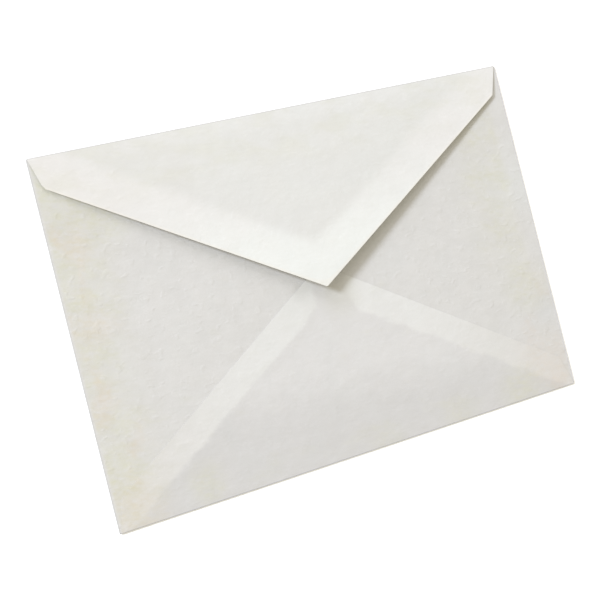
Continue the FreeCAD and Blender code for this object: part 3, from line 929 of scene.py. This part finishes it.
def light_world(settings):
    """Even light from all round, and plain white wherever the camera sees past the floor."""
    world = bpy.data.worlds.new("plain_studio")
    world.use_nodes = True
    tree = world.node_tree
    room = tree.nodes["Background"]
    room.inputs["Color"].default_value = settings.air_colour
    room.inputs["Strength"].default_value = settings.air
    white = add(tree, "Background", (1, 1, 1, 1), 1.0)
    pick = add(tree, "MixShader", seen_directly(tree), room.outputs[0], white)
    tree.links.new(pick, tree.nodes["World Output"].inputs["Surface"])
    bpy.context.scene.world = world


def aimed(place, target, roll=0.0):
    """Matrix that stands at a place and looks down its own -Z at a target."""
    turn = (Vector(target) - Vector(place)).to_track_quat("-Z", "Y").to_matrix().to_4x4()
    return Matrix.Translation(place) @ turn @ Matrix.Rotation(roll, 4, "Z")


# Operators

class ENVELOPE_OT_folded_sheet(bpy.types.Operator):
    """Make the envelope: one sheet with its folds, flaps and thickness"""
    bl_idname = "envelope.folded_sheet"
    bl_label = "Folded Sheet"

    def execute(self, context):
        sizes = context.scene.envelope_sizes
        colours = context.scene.paper_colours
        sheet = give_thickness(*sheet_surface(sizes), sizes.paper)
        piece = make_piece("envelope_sheet", *sheet)
        piece.data.materials.append(paper_material(sizes, colours))
        piece.data.materials.append(inner_material(sizes, colours))
        piece.data.materials.append(rim_material(colours))
        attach(piece, "root")
        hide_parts("folded_sheet")
        return {"FINISHED"}


class ENVELOPE_OT_stage(bpy.types.Operator):
    """Make the floor, two soft lamps, the surrounding light and the camera"""
    bl_idname = "envelope.stage"
    bl_label = "Stage"

    def execute(self, context):
        settings = context.scene.stage_settings
        mesh = bpy.data.meshes.new("floor")
        reach = settings.floor_reach
        corners = [(x * reach, y * reach, -FLOOR_DROP)
                   for x, y in ((-1, -1), (1, -1), (1, 1), (-1, 1))]
        mesh.from_pydata(corners, [], [(0, 1, 2, 3)])
        floor = bpy.data.objects.new("floor", mesh)
        mesh.materials.append(floor_material())
        context.scene.collection.objects.link(floor)

        for name in ("window", "fill"):
            lamp = bpy.data.lights.new(name + "_lamp", "AREA")
            lamp.shape = "DISK"
            lamp.size = getattr(settings, name + "_size")
            lamp.energy = getattr(settings, name + "_power")
            lamp.color = getattr(settings, name + "_colour")[:3]
            holder = bpy.data.objects.new(name + "_lamp", lamp)
            holder.matrix_world = aimed(getattr(settings, name + "_place"), (0, 0, 0))
            holder.visible_camera = False
            context.scene.collection.objects.link(holder)
        light_world(settings)

        lens = bpy.data.cameras.new("camera")
        lens.sensor_width = 36
        lens.lens = settings.lens
        lens.shift_x, lens.shift_y = settings.shift
        lens.clip_start = 0.01
        camera = bpy.data.objects.new("camera", lens)
        camera.matrix_world = aimed(settings.place, settings.aim, settings.roll)
        context.scene.collection.objects.link(camera)
        context.scene.camera = camera
        context.scene.view_settings.view_transform = "Standard"
        return {"FINISHED"}


class ENVELOPE_PT_sidebar(bpy.types.Panel):
    """Lists the steps that make the envelope"""
    bl_label = "Paper Envelope"
    bl_idname = "ENVELOPE_PT_sidebar"
    bl_space_type = "VIEW_3D"
    bl_region_type = "UI"
    bl_category = "Envelope"

    def draw(self, context):
        self.layout.operator(ENVELOPE_OT_folded_sheet.bl_idname)
        self.layout.operator(ENVELOPE_OT_stage.bl_idname)


CLASSES = (EnvelopeSizes, PaperColours, StageSettings, ENVELOPE_OT_folded_sheet,
           ENVELOPE_OT_stage, ENVELOPE_PT_sidebar)
GROUPS = {"envelope_sizes": EnvelopeSizes, "paper_colours": PaperColours,
          "stage_settings": StageSettings}


def register():
    for cls in CLASSES:
        bpy.utils.register_class(cls)
    for name, group in GROUPS.items():
        setattr(bpy.types.Scene, name, bpy.props.PointerProperty(type=group))


def unregister():
    for name in GROUPS:
        delattr(bpy.types.Scene, name)
    for cls in reversed(CLASSES):
        bpy.utils.unregister_class(cls)


def main():
    register()
    bpy.ops.envelope.folded_sheet()
    bpy.ops.envelope.stage()


if __name__ == "__main__":
    main()
